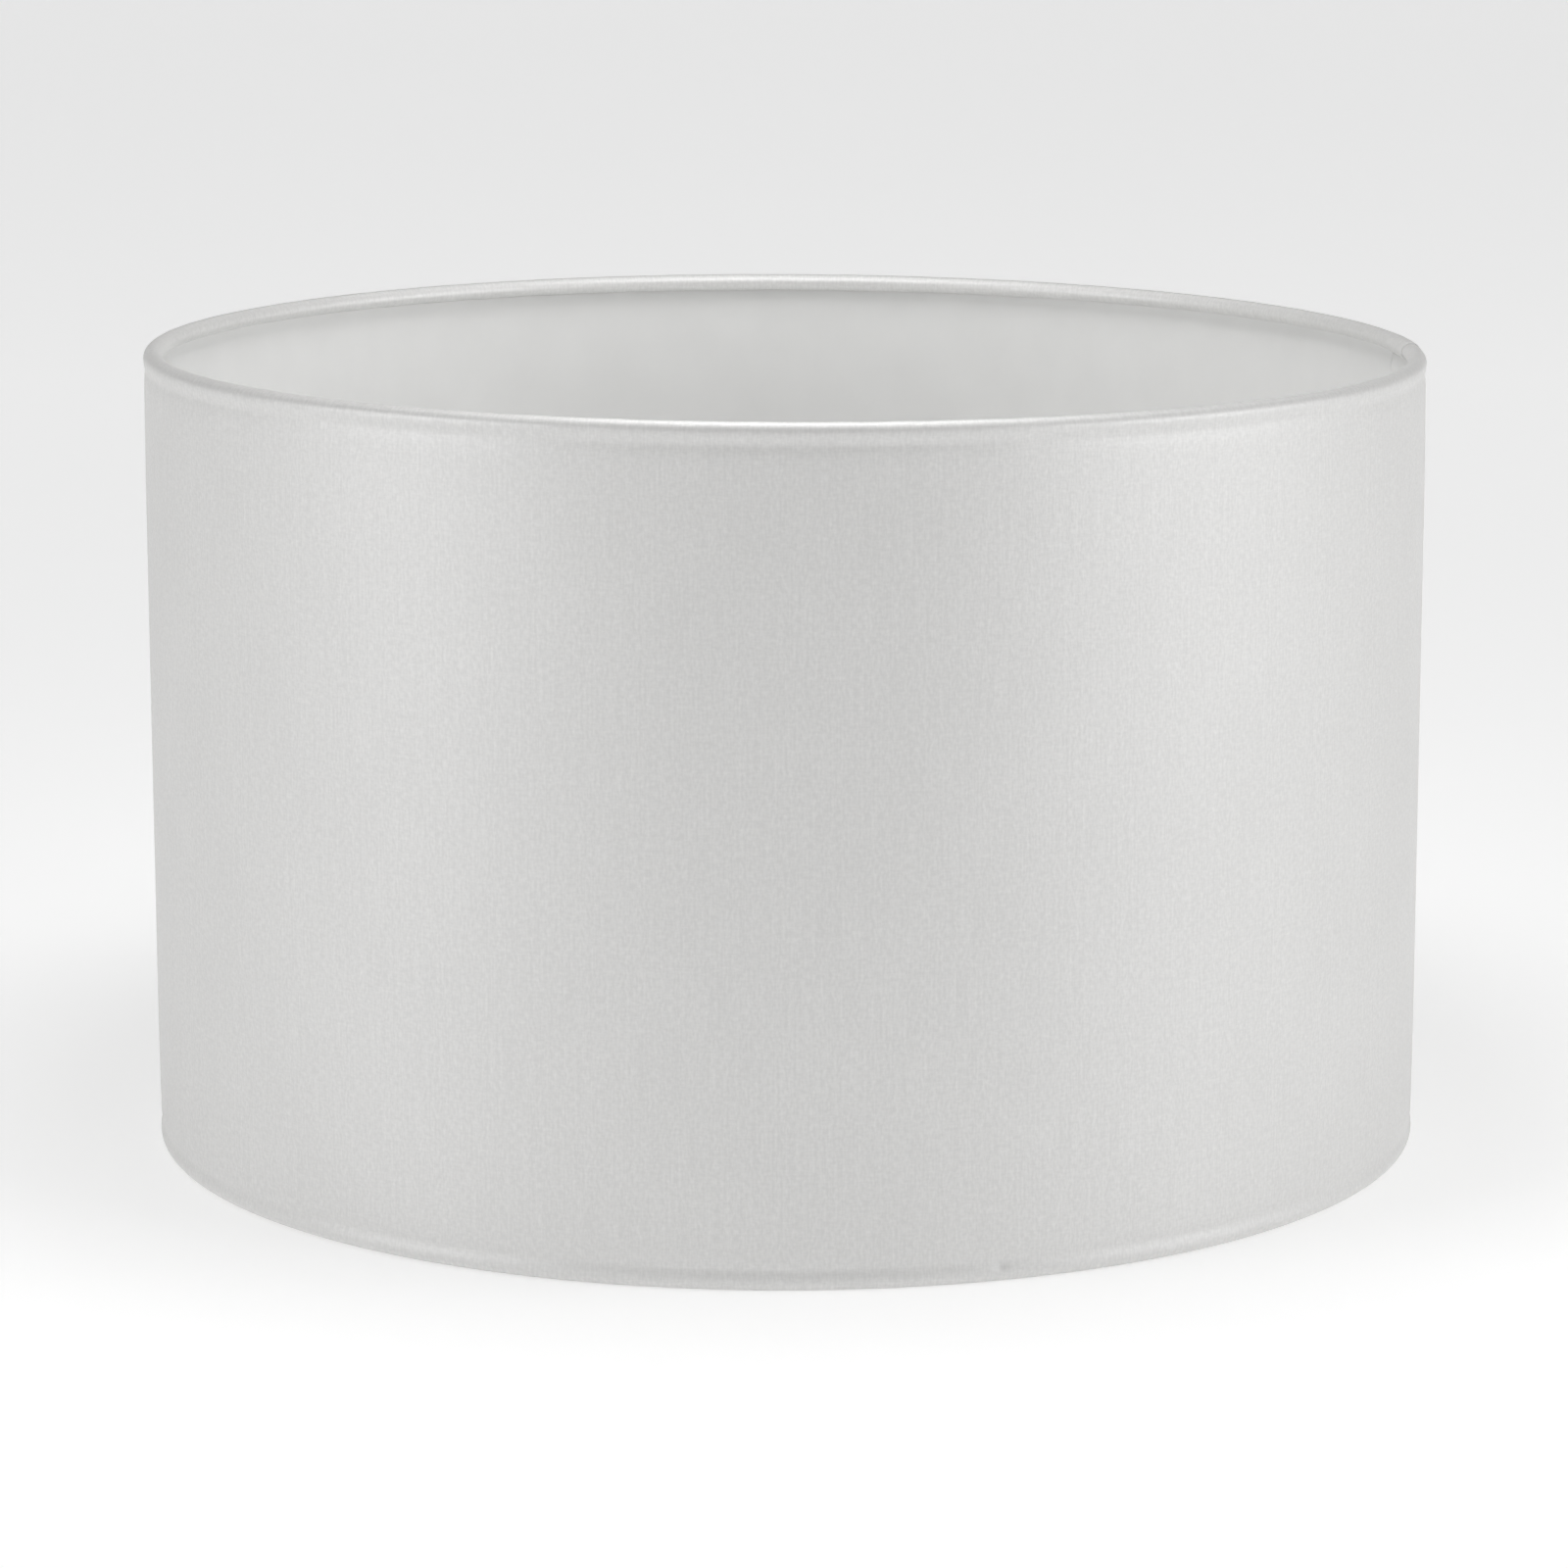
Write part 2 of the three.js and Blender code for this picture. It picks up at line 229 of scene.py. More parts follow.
def leaned(points):
    """The points with the top of the shade a little out of level."""
    x, y = points[..., 0] / RADIUS, points[..., 1] / RADIUS
    rise = TOP_RISE - TOP_LEAN * x - TOP_SADDLE * (x**2 - y**2)
    moved = points.copy()
    moved[..., 2] += rise * (points[..., 2] / HEIGHT) ** 2
    return moved


def around(azimuths, sections):
    """The points of one section for each azimuth, in radians, set round the axis."""
    radii, heights = sections[..., 0], sections[..., 1]
    turn = azimuths[:, None]
    return np.stack([radii * np.cos(turn), radii * np.sin(turn), heights], axis=-1)


def path_normals(path):
    """Unit normals on the right-hand side of a path, seen along it."""
    tangent = np.gradient(path, axis=0)
    tangent /= np.linalg.norm(tangent, axis=1, keepdims=True)
    return np.stack([tangent[:, 1], -tangent[:, 0]], axis=1)


def path_lengths(path):
    """How far along the path each of its points is."""
    steps = np.linalg.norm(np.diff(path, axis=0), axis=1)
    return np.concatenate([[0], np.cumsum(steps)])


# ---- The wall's shape, shared by the cloth and the lining.


def wall_shape(azimuths, heights):
    """How far out of a true cylinder the wall is, for each azimuth in radians and height."""
    turn, level = azimuths[:, None], heights[None, :] / HEIGHT
    waves = (
        0.45 * np.sin(2 * turn + 1.1 + 0.8 * level)
        + 0.30 * np.sin(3 * turn + 4.0 - 1.9 * level)
        + 0.20 * np.sin(7 * turn + 0.7 + 2.6 * level)
        + 0.12 * np.sin(13 * turn + 2.9 - 3.4 * level)
        + 0.08 * np.sin(23 * turn + 5.1 + 4.2 * level)
    )
    edge = np.minimum(heights, HEIGHT - heights)[None, :]
    groove = smooth(3 * MM, 7 * MM, edge) * (1 - smooth(7 * MM, 42 * MM, edge))
    crease = np.exp(-(((edge - CREASE_HEIGHT) / CREASE_WIDTH) ** 2))
    unevenness = WOBBLE * waves * smooth(2 * MM, 30 * MM, edge)
    return unevenness - GROOVE_DEPTH * groove - CREASE_DEPTH * crease


def dents(azimuths, heights):
    """Small dents in the bottom hem where the arms are welded to the ring behind it."""
    total = np.zeros((len(azimuths), len(heights)))
    for azimuth, depth in DENTS.items():
        away = np.angle(np.exp(1j * (azimuths - math.radians(azimuth)))) * RADIUS
        above = heights - DENT_HEIGHT
        for share, (wide, tall) in ((0.8, DENT_SPREAD), (0.2, DENT_PULL_SPREAD)):
            sideways = np.exp(-((away / wide) ** 2))[:, None]
            upright = np.exp(-((above / tall) ** 2))[None, :]
            total -= depth * share * sideways * upright
    return total


# ---- The cover cloth.


def hem_path():
    """The bottom hem's outer face, from the cut edge in the crevice to the foot of the wall."""
    tuck = [(RADIUS + x * MM, z * MM) for x, z in TUCK]
    angles = np.radians(np.arange(-ROLL_ARC, 1, ROLL_ARC / 22))
    middle_x, middle_z = RADIUS - ROLL_RADIUS, ROLL_RADIUS
    roll = [
        (middle_x + ROLL_RADIUS * math.cos(a), middle_z + ROLL_RADIUS * math.sin(a))
        for a in angles
    ]
    return np.array(tuck + roll)


def cover_path():
    """The cloth's whole outer face in section, from its bottom cut edge to its top one."""
    hem = hem_path()
    near_edge = [4, 5, 6, 7, 8, 10, 13, 18, 25, 34]
    middle = np.linspace(44, HEIGHT / MM - 44, 12)
    levels = [h * MM for h in near_edge]
    levels += [h * MM for h in middle]
    levels += [HEIGHT - h * MM for h in reversed(near_edge)]
    wall = np.array([(RADIUS, level) for level in levels])
    top = hem[::-1] * (1, -1) + (0, HEIGHT)
    return np.concatenate([hem, wall, top])


def cover_azimuths():
    """Azimuths of the cloth's columns, closer together at the fold, the seam and the dents."""
    start, end = SEAM_AZIMUTH, SEAM_AZIMUTH + 360 + SEAM_UNDERLAY
    degree = math.radians(1) * RADIUS
    fold = np.array([0, 0.04, 0.12, 0.26, 0.45, 0.7, 1.1, 1.7, 2.5, 4, 6, 8, 9, 10, 11, 12.5, 15]) * MM
    parts = [start + fold / degree, start + 360 - fold[::-1] / degree, [end]]
    for azimuth in DENTS:
        middle = azimuth % 360
        parts.append(middle + np.arange(-7, 7.1, 0.6) * MM / degree)
    plain = np.arange(start + 16 * MM / degree, start + 360, COLUMN_STEP / degree)
    for azimuth in DENTS:
        plain = plain[np.abs(plain - azimuth % 360) * degree > 8 * MM]
    plain = plain[plain < start + 360 - 17 * MM / degree]
    return np.radians(np.sort(np.concatenate(parts + [plain])))


def gathers(azimuths, inner_side):
    """Small puckers on the inner side of the rolls, where the cloth has to take up its spare length."""
    turn = azimuths[:, None]
    waves = (
        0.40 * np.sin(61 * turn + 1.3 * np.sin(5 * turn))
        + 0.35 * np.sin(97 * turn + 2.1 * np.sin(3 * turn + 1))
        + 0.25 * np.sin(23 * turn + 0.6)
    )
    return GATHER * waves * inner_side


def plain_shape(azimuths, path, inner_side):
    """How far out of its plain section the cloth is, apart from its seam."""
    edge = np.minimum(path[:, 1], HEIGHT - path[:, 1])
    on_wall = (edge > ROLL_RADIUS).astype(float)[None, :]
    shape = wall_shape(azimuths, path[:, 1]) * on_wall
    shape += dents(azimuths, path[:, 1]) * (1 - inner_side)
    return shape + gathers(azimuths, inner_side)


def seamed_faces(azimuths, shape, inner_side, off_base):
    """How far out the cloth's outer and inner faces are, with its folded end on top of its other one."""
    past_fold = (azimuths - azimuths[0])[:, None] * RADIUS
    before_seam = (azimuths - azimuths[0] - 2 * math.pi)[:, None] * RADIUS
    lap = math.radians(SEAM_LAP) * RADIUS
    lift = (SEAM_LIFT + (SEAM_ROLL_LIFT - SEAM_LIFT) * inner_side) * off_base
    raised = lift * (1 - smooth(0.6 * lap, 1.2 * lap, past_fold))
    ridge = 1 - smooth(FOLD_WIDTH - 1 * MM, FOLD_WIDTH + 1.5 * MM, past_fold)
    raised += FOLD_RIDGE * off_base * ridge
    sunk = -SEAM_SINK * smooth(-12 * MM, -1 * MM, before_seam)
    face = shape + raised + sunk

    rounding = 1 - np.clip(past_fold / FOLD_ROUND, 0, 1)
    face -= (lift + FOLD_RIDGE) * FOLD_ROUND_SHARE * (1 - np.sqrt(1 - rounding**2))
    doubled = 1 - smooth(FOLD_WIDTH - 2 * MM, FOLD_WIDTH, past_fold)
    back = shape + sunk + raised - CLOTH_THICK
    back += doubled * (shape + 0.05 * MM - SEAM_SINK - back)
    return face, back


def make_cover(material):
    """The satin cloth, one strip that wraps the drum and both rings and laps over itself at the seam."""
    path, azimuths = cover_path(), cover_azimuths()
    normals, lengths = path_normals(path), path_lengths(path)
    inner_side = smooth(1.0 * MM, 4.0 * MM, RADIUS - path[:, 0])[None, :]
    off_base = 1 - np.clip(-normals[:, 1], 0, 1) * (path[:, 1] < HEIGHT / 2)
    shape = plain_shape(azimuths, path, inner_side)
    face, back = seamed_faces(azimuths, shape, inner_side, off_base[None, :])
    outer = path + normals * face[..., None]
    inner = path + normals * back[..., None]
    uvs = np.stack(np.broadcast_arrays(azimuths[:, None] * RADIUS, lengths[None, :]), axis=-1)
    body = closed_sheet(leaned(around(azimuths, outer)), leaned(around(azimuths, inner)), uvs)
    piece = new_piece("cover_cloth", *body, "shade", "satin", material, "cover_fabric")
    return piece


# ---- The lining.


def make_lining(material):
    """The stiff plastic lining, whose inner end steps in under its outer one and stops past the seam."""
    lap, lead = math.radians(SEAM_LAP), math.radians(LINING_LEAD_IN)
    start = math.radians(SEAM_AZIMUTH)
    seam = start + 2 * math.pi
    end = seam + lap
    columns = [np.linspace(start, seam - lead, 300), np.linspace(seam - lead, end, 40)[1:]]
    for azimuth in DENTS:
        columns.append(math.radians(azimuth % 360) + np.arange(-6, 6.1) * MM / RADIUS)
    azimuths = np.sort(np.concatenate(columns))
    share = np.concatenate([[0, 0.004, 0.015], np.linspace(0.04, 0.96, 16), [0.985, 0.996, 1]])
    stepped = smooth(seam - lead, seam - 0.2 * lead, azimuths)
    low = LINING_LOW + (LINING_END_HEIGHT - LINING_LOW) * stepped
    heights = low[:, None] + (HEIGHT - 2 * low)[:, None] * share[None, :]
    levels = np.interp(share, [0, 1], [LINING_LOW, HEIGHT - LINING_LOW])
    shape = wall_shape(azimuths, levels) + dents(azimuths, levels)
    curl = 0.25 * MM * smooth(end - 6 * MM / RADIUS, end, azimuths)
    outer = LINING_OUTER + shape - ((LINING_STEP * stepped) + curl)[:, None]
    thick = LINING_OUTER - LINING_INNER
    sections = [np.stack([radii, heights], axis=-1) for radii in (outer, outer - thick)]
    uvs = np.stack(np.broadcast_arrays(azimuths[:, None] * RADIUS, heights), axis=-1)
    grids = [leaned(around(azimuths, section)) for section in sections]
    body = closed_sheet(*grids, uvs)
    return new_piece("lining_sheet", *body, "shade", "lining", material, "lining_panel")


# ---- The rings and their tape.


def make_hoop(name, height, wire_radius, slot, material, node, bead=0.0):
    """A hoop of round section in a hem. bead makes it thicker at the butt weld that closes the wire."""
    turns = np.linspace(0, 2 * math.pi, 360, endpoint=False)
    angles = np.linspace(0, 2 * math.pi, 16, endpoint=False)
    away = np.angle(np.exp(1j * (turns - math.radians(WELD_AZIMUTH)))) * RING_RADIUS
    radius = wire_radius + bead * np.exp(-((away / (1.5 * MM)) ** 2))
    section = np.stack(
        [
            RING_RADIUS - radius[:, None] * np.cos(angles)[None, :],
            height + radius[:, None] * np.sin(angles)[None, :],
        ],
        axis=-1,
    )
    uvs = np.stack(np.broadcast_arrays(turns[:, None] * RADIUS, angles[None, :] * wire_radius), axis=-1)
    body = closed_loop_body(leaned(around(turns, section)), uvs)
    return new_piece(name, *body, "shade", slot, material, node)


# ---- The arms.


def arm_centreline():
    """The arm in section, from the bottom ring up its crank and in to the fitter ring."""
    low, high = BOTTOM_RING_HEIGHT, ARM_HIGH - ARM_RADIUS
    outer_end = RING_RADIUS - RING_WIRE_RADIUS
    level_out = np.linspace(outer_end, ARM_CRANK_OUTER, 8)[:-1]
    share = np.linspace(0, 1, 22)
    middle = (ARM_CRANK_OUTER + ARM_CRANK_INNER) / 2
    weights = [(1 - share) ** 3, 3 * share * (1 - share) ** 2, 3 * share**2 * (1 - share), share**3]
    crank = sum(
        w[:, None] * np.array(p)
        for w, p in zip(
            weights,
            [(ARM_CRANK_OUTER, low), (middle, low), (middle, high), (ARM_CRANK_INNER, high)],
        )
    )
    near_end = FITTER_HIGH.x - 0.1 * MM
    level_in = np.concatenate(
        [
            np.linspace(ARM_CRANK_INNER, near_end + 8 * MM, 14)[1:-1],
            np.linspace(near_end + 8 * MM, near_end, 14),
        ]
    )
    return np.concatenate(
        [
            np.stack([level_out, np.full(len(level_out), low)], axis=1),
            crank,
            np.stack([level_in, np.full(len(level_in), high)], axis=1),
        ]
    )


def make_arm(number, azimuth, material):
    """A wire arm with a weld at each end."""
    line = arm_centreline()
    normals = path_normals(line)
    lengths = path_lengths(line)
    from_weld = np.minimum(lengths, lengths[-1] - lengths)
    fillet = (WELD_RADIUS - ARM_RADIUS) * (1 - smooth(0, WELD_REACH, from_weld))
    lump = WELD_LUMP * np.sin(from_weld / (0.5 * MM)) * (1 - smooth(1.5 * MM, 3 * MM, from_weld))
    radius = ARM_RADIUS + fillet + lump
    angles = np.linspace(0, 2 * math.pi, 20, endpoint=False)
    turn = math.radians(azimuth)
    outward = np.array([math.cos(turn), math.sin(turn), 0])
    side = np.array([-math.sin(turn), math.cos(turn), 0])
    up = np.array([0, 0, 1])
    centre = line[:, :1] * outward + line[:, 1:] * up
    across = normals[:, :1] * outward + normals[:, 1:] * up
    ring = across[:, None, :] * np.cos(angles)[None, :, None] + side * np.sin(angles)[None, :, None]
    points = centre[:, None, :] + radius[:, None, None] * ring
    numbers = np.arange(points.shape[0] * points.shape[1]).reshape(points.shape[:2])
    wrapped = np.pad(numbers, ((0, 0), (0, 1)), mode="wrap")
    caps = []
    middles = len(numbers.ravel()) + np.arange(2)
    for row, middle in ((wrapped[0], middles[0]), (wrapped[-1][::-1], middles[1])):
        caps.append(np.stack([row[:-1], row[1:], np.full(len(row) - 1, middle)], axis=1))
    vertices = np.concatenate([points.reshape(-1, 3), centre[[0, -1]]])
    sides = [face.tolist() for face in grid_faces(wrapped)[:, ::-1]]
    ends = [face.tolist() for face in np.concatenate(caps)[:, ::-1]]
    flat = np.stack(np.broadcast_arrays(lengths[:, None], angles[None, :] * ARM_RADIUS), axis=-1)
    uvs = flat.reshape(-1, 2)
    uvs = np.concatenate([uvs, uvs[[0, -1]]])
    faces = np.array(sides + ends, dtype=object)
    name, node = f"arm_wire_{number}", f"fitter_arm_{number}"
    return new_piece(name, vertices, faces, uvs, "shade", "coated_steel", material, node)


# ---- The turned parts.


def rounded(corners, steps=5):
    """A closed section from corners (radius, height, rounding), each turned into an arc."""
    points = []
    count = len(corners)
    for number, (x, z, rounding) in enumerate(corners):
        here = np.array([x, z])
        before = np.array(corners[number - 1][:2]) - here
        after = np.array(corners[(number + 1) % count][:2]) - here
        before /= np.linalg.norm(before)
        after /= np.linalg.norm(after)
        half = math.acos(np.clip(before @ after, -1, 1)) / 2
        reach = rounding / math.tan(half)
        middle = here + (before + after) / np.linalg.norm(before + after) * rounding / math.sin(half)
        first, last = here + before * reach - middle, here + after * reach - middle
        for share in np.linspace(0, 1, steps):
            swing = first * (1 - share) + last * share
            points.append(middle + swing / np.linalg.norm(swing) * rounding)
    return np.array(points)


def filled(section, longest):
    """The section with extra points on its long sides."""
    points = []
    for here, following in zip(section, np.roll(section, -1, axis=0)):
        count = max(1, math.ceil(np.linalg.norm(following - here) / longest))
        for share in range(count):
            points.append(here + (following - here) * share / count)
    return np.array(points)


def make_turned(name, section, shape, body, slot, material, node, count=240):
    """A ring of that closed section. shape gives the section's points at each azimuth."""
    turns = np.linspace(0, 2 * math.pi, count, endpoint=False)
    sections = shape(turns, section)
    length = path_lengths(section)
    uvs = np.stack(np.broadcast_arrays(turns[:, None] * SMALL_RING_RADIUS, length[None, :]), axis=-1)
    points, faces, flat = closed_loop_body(around(turns, sections), uvs)
    return new_piece(name, points, faces, flat, body, slot, material, node)


def fitter_shape(turns, section):
    """The pressed ring, drawn down a little between the arms."""
    sections = np.repeat(section[None], len(turns), axis=0)
    sag = FITTER_SAG * np.cos(3 * (turns - math.radians(ARM_AZIMUTHS[0])))
    share = smooth(FITTER_HOLE, FITTER_HIGH.x, section[:, 0])
    sections[..., 1] += sag[:, None] * share[None, :] - FITTER_SAG * share
    return sections


def make_fitter(material):
    """The pressed steel ring that the arms carry."""
    outer, top, foot = FITTER_HIGH.x, FITTER_HIGH.z, FITTER_LOW.z
    section = rounded(
        [
            (FITTER_HOLE, top, 0.5 * MM),
            (FITTER_HOLE, top - SHEET_THICK, 0.3 * MM),
            (outer - SHEET_THICK, top - SHEET_THICK, 0.4 * MM),
            (outer - SHEET_THICK, foot, 0.35 * MM),
            (outer, foot, 0.35 * MM),
            (outer, top, 1.5 * MM),
        ],
        steps=7,
    )[::-1]
    section = filled(section, 1.2 * MM)
    return make_turned(
        "fitter_collar", section, fitter_shape, "shade", "coated_steel", material, "fitter_ring"
    )


def reducer_shape(turns, section):
    """The moulded ring, with ribs down its neck."""
    sections = np.repeat(section[None], len(turns), axis=0)
    pitch = 2 * math.pi / REDUCER_RIBS
    away = (np.mod(turns + pitch / 2, pitch) - pitch / 2) * REDUCER_NECK
    rib = 1 - smooth(0.3 * RIB_WIDTH, 0.6 * RIB_WIDTH, np.abs(away))
    on_neck = (np.abs(section[:, 0] - REDUCER_NECK) < 0.05 * MM).astype(float)
    taper = smooth(REDUCER_LOW.z, REDUCER_LOW.z + 1.6 * MM, section[:, 1])
    sections[..., 0] += RIB_PROUD * rib[:, None] * (on_neck * taper)[None, :]
    return sections


def make_reducer(material):
    """The plastic ring that sits loose in the fitter's hole."""
    top, foot, flange = REDUCER_HIGH.z, REDUCER_LOW.z, REDUCER_HIGH.x
    under_flange = top - REDUCER_WALL
    inside = REDUCER_NECK - REDUCER_WALL
    section = rounded(
        [
            (REDUCER_BORE, foot + REDUCER_WALL, 0.35 * MM),
            (REDUCER_BORE, foot, 0.35 * MM),
            (REDUCER_NECK, foot, 0.6 * MM),
            (REDUCER_NECK, under_flange, 0.12 * MM),
            (flange, under_flange, 0.5 * MM),
            (flange, top, 0.6 * MM),
            (inside, top, 0.5 * MM),
            (inside, foot + REDUCER_WALL, 0.5 * MM),
        ],
        steps=6,
    )
    section = filled(section, 0.9 * MM)
    looks = ("reducer", "reducer_plastic", material)
    return make_turned("reducer_insert", section, reducer_shape, *looks, "reducer_ring", 720)


# ---- Materials.


class Surface:
    """A Principled material and the few nodes that give it its pattern."""

    def __init__(self, name, **sockets):
        self.material = bpy.data.materials.new(name)
        self.material.use_nodes = True
        self.tree = self.material.node_tree
        self.shader = self.tree.nodes["Principled BSDF"]
        for label, value in sockets.items():
            self.shader.inputs[label.replace("_", " ")].default_value = value

    def node(self, kind, links=(), **settings):
        """A new node, with its inputs linked to or set to what links says."""
        made = self.tree.nodes.new(kind)
        for label, value in settings.items():
            setattr(made, label, value)
        for label, value in dict(links).items():
            if isinstance(value, bpy.types.NodeSocket):
                self.tree.links.new(value, made.inputs[label])
            else:
                made.inputs[label].default_value = value
        return made

    def noise(self, scale, detail=2.0, space="UV"):
        """Noise whose grain is scale cells per metre along each axis."""
        place = self.node("ShaderNodeTexCoord").outputs[space]
        stretched = self.node("ShaderNodeMapping", {"Vector": place, "Scale": scale}).outputs[0]
        links = {"Vector": stretched, "Scale": 1.0, "Detail": detail}
        return self.node("ShaderNodeTexNoise", links).outputs["Fac"]

    def sum(self, first, second, share):
        """first times (1 - share) plus second times share."""
        links = {"Factor": share, 2: first, 3: second}
        return self.node("ShaderNodeMix", links).outputs[0]

    def remap(self, value, low, high, to_low, to_high):
        """value from low..high to to_low..to_high, held at the ends."""
        links = {"Value": value, "From Min": low, "From Max": high, "To Min": to_low, "To Max": to_high}
        return self.node("ShaderNodeMapRange", links).outputs[0]

    def tint(self, value, low_colour, high_colour):
        """Sets the base colour to run between two colours."""
        ramp = self.node("ShaderNodeValToRGB", {"Fac": value})
        ramp.color_ramp.elements[0].color = (*low_colour, 1)
        ramp.color_ramp.elements[1].color = (*high_colour, 1)
        self.tree.links.new(ramp.outputs["Color"], self.shader.inputs["Base Color"])

    def rough(self, value):
        """Sets the roughness."""
        self.tree.links.new(value, self.shader.inputs["Roughness"])

    def bump(self, height, distance):
        """Raises the surface by up to distance, in metres."""
        links = {"Height": height, "Distance": distance, "Strength": 1.0}
        self.tree.links.new(self.node("ShaderNodeBump", links).outputs[0], self.shader.inputs["Normal"])


def shade_of(slot, factor):
    """The record's colour of a slot, times factor."""
    rows = {row["slot"]: row["base_color"] for row in frame["record"]["materials"]}
    return tuple(channel * factor for channel in rows[slot])


def satin_material():
    """The fine grain of a woven satin, with upright slubs and a few specks."""
    surface = Surface("satin_cloth", IOR=2.0, Specular_IOR_Level=1.0)
    warp = surface.noise((1300, 480, 1), detail=1)
    weft = surface.noise((480, 1300, 1), detail=1)
    slubs = surface.noise((1100, 45, 1), detail=2)
    clouds = surface.noise((25, 18, 1), detail=2)
    specks = surface.remap(surface.noise((1100, 800, 1), detail=0), 0.80, 0.86, 0, 1)
    weave = surface.sum(surface.sum(warp, weft, 0.4), slubs, 0.25)
    tone = surface.sum(surface.sum(weave, clouds, 0.1), specks, 0.08)
    contrast = surface.remap(tone, 0.38, 0.62, 0, 1)
    surface.tint(contrast, shade_of("satin", 0.66), shade_of("satin", 0.78))
    surface.rough(surface.remap(weave, 0.35, 0.65, 0.54, 0.46))
    surface.bump(weave, 0.08 * MM)
    return surface.material


def lining_material():
    """Smooth opal plastic, with the faint unevenness of rolled sheet."""
    surface = Surface("lining_sheet", Specular_IOR_Level=0.4)
    mottle = surface.noise((60, 45, 1), detail=4)
    dust = surface.remap(surface.noise((900, 900, 1), detail=0), 0.80, 0.86, 0, 1)
    tone = surface.sum(mottle, dust, 0.1)
    contrast = surface.remap(tone, 0.3, 0.7, 0, 1)
    surface.tint(contrast, shade_of("lining", 0.83), shade_of("lining", 0.86))
    surface.rough(surface.remap(mottle, 0.3, 0.7, 0.5, 0.6))
    surface.bump(surface.noise((300, 90, 1), detail=2), 0.01 * MM)
    return surface.material


def steel_material():
    """White powder coat, with its orange peel."""
    surface = Surface("powder_coat", Specular_IOR_Level=0.5, Metallic=0.0)
    peel = surface.noise((900, 900, 900), detail=2, space="Object")
    clouds = surface.noise((60, 60, 60), detail=3, space="Object")
    surface.tint(clouds, shade_of("coated_steel", 0.94), shade_of("coated_steel", 1.0))
    surface.rough(surface.remap(peel, 0.3, 0.7, 0.3, 0.42))
    surface.bump(peel, 0.04 * MM)
    return surface.material


def bare_wire_material():
    """Drawn steel wire, coated white, with scuffs along it."""
    surface = Surface("ring_wire", Specular_IOR_Level=0.5)
    scuffs = surface.noise((40, 900, 1), detail=3)
    surface.tint(scuffs, shade_of("coated_steel", 0.85), shade_of("coated_steel", 0.98))
    surface.rough(surface.remap(scuffs, 0.3, 0.7, 0.32, 0.5))
    surface.bump(scuffs, 0.02 * MM)
    return surface.material


def plastic_material():
    """Moulded plastic with a fine spark-eroded grain."""
    surface = Surface("moulded_plastic", Specular_IOR_Level=0.5)
    grain = surface.noise((2600, 2600, 2600), detail=2, space="Object")
    flow = surface.noise((120, 120, 40), detail=3, space="Object")
    surface.tint(flow, shade_of("reducer_plastic", 0.96), shade_of("reducer_plastic", 1.0))
    surface.rough(surface.remap(grain, 0.3, 0.7, 0.28, 0.36))
    surface.bump(grain, 0.012 * MM)
    return surface.material


def tape_material():
    """Dull double-sided tape, creased here and there."""
    surface = Surface("adhesive_tape", Specular_IOR_Level=0.35)
    creases = surface.noise((500, 120, 500), detail=3, space="Object")
    surface.tint(creases, shade_of("adhesive_tape", 0.9), shade_of("adhesive_tape", 1.0))
    surface.rough(surface.remap(creases, 0.3, 0.7, 0.6, 0.75))
    surface.bump(creases, 0.04 * MM)
    return surface.material


def floor_material():
    """Plain pale studio floor, which glows, a little more away from the shade, as a lit backdrop does."""
    surface = Surface("studio_floor", Specular_IOR_Level=0.2, Roughness=0.8)
    clouds = surface.noise((1.5, 1.5, 1.5), detail=2, space="Object")
    surface.tint(clouds, (0.9, 0.9, 0.9), (0.91, 0.91, 0.91))
    surface.shader.inputs["Emission Color"].default_value = (1, 1, 1, 1)
    place = surface.node("ShaderNodeTexCoord").outputs["Object"]
    away = surface.node("ShaderNodeVectorMath", {0: place}, operation="LENGTH").outputs["Value"]
    glow = surface.remap(away, *FLOOR_GLOW_REACH, *FLOOR_GLOW)
    surface.tree.links.new(glow, surface.shader.inputs["Emission Strength"])
    surface.material.cycles.emission_sampling = "NONE"
    return surface.material


# ---- The room.


def make_floor():
    """The floor that the shade stands on, which sweeps up into a low backdrop all round."""
    bend = np.radians(np.linspace(0, 80, 9))
    radii = np.concatenate([[0.0, 0.5, 1, 2, 4, 8], FLOOR_RADIUS + SWEEP_RADIUS * np.sin(bend)])
    heights = np.concatenate([np.zeros(6), SWEEP_RADIUS * (1 - np.cos(bend))])
    turns = np.linspace(0, 2 * math.pi, 97)
    section = np.stack([radii, heights], axis=-1)
    points = around(turns, np.repeat(section[None], len(turns), axis=0))
    numbers = np.arange(points.shape[0] * points.shape[1]).reshape(points.shape[:2])
    mesh = bpy.data.meshes.new("studio_floor")
    mesh.from_pydata(points.reshape(-1, 3).tolist(), [], grid_faces(numbers).tolist())
    mesh.polygons.foreach_set("use_smooth", np.ones(len(mesh.polygons), dtype=bool))
    mesh.materials.append(floor_material())
    floor = bpy.data.objects.new("studio_floor", mesh)
    bpy.context.scene.collection.objects.link(floor)


